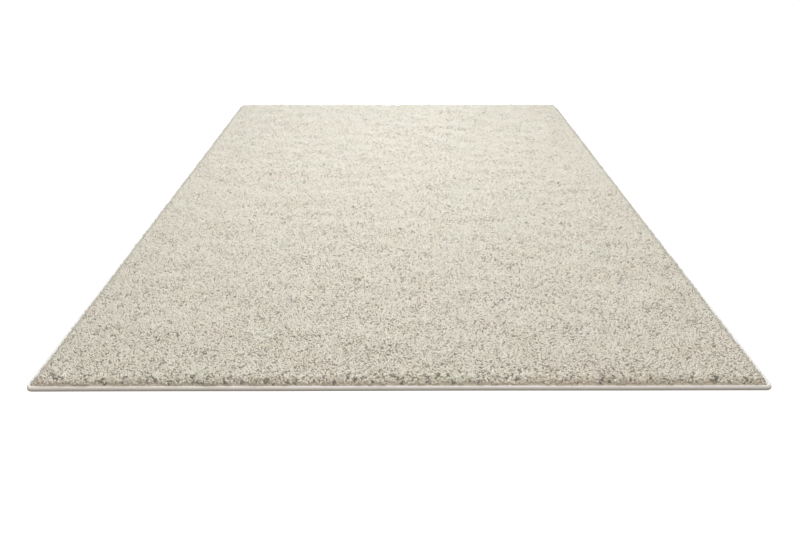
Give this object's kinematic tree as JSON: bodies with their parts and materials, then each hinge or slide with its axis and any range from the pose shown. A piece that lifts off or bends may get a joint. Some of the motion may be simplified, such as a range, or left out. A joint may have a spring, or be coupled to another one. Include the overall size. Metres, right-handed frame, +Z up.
{
  "type": "shag rug",
  "caption": "Rectangular shag rug lying flat: a lumpy slab of cut pile with locks of yarn at its rim and a serged binding along each edge.",
  "frame": {"origin": "on the floor, under the middle of the rug", "axes": "+X across the rug's width, +Y along its length, away from the front edge, +Z up out of the pile"},
  "size_m": [1.6, 2.3, 0.0333],
  "materials": {
    "pile_yarn": "cream twisted pile yarn, cut ends, matt with a soft sheen",
    "binding_yarn": "off-white serging yarn, close turns, satin"
  },
  "bodies": {
    "root": {"shag_pile": "pile_yarn", "binding_front": "binding_yarn", "binding_right": "binding_yarn", "binding_back": "binding_yarn", "binding_left": "binding_yarn"}
  },
  "joints": []
}
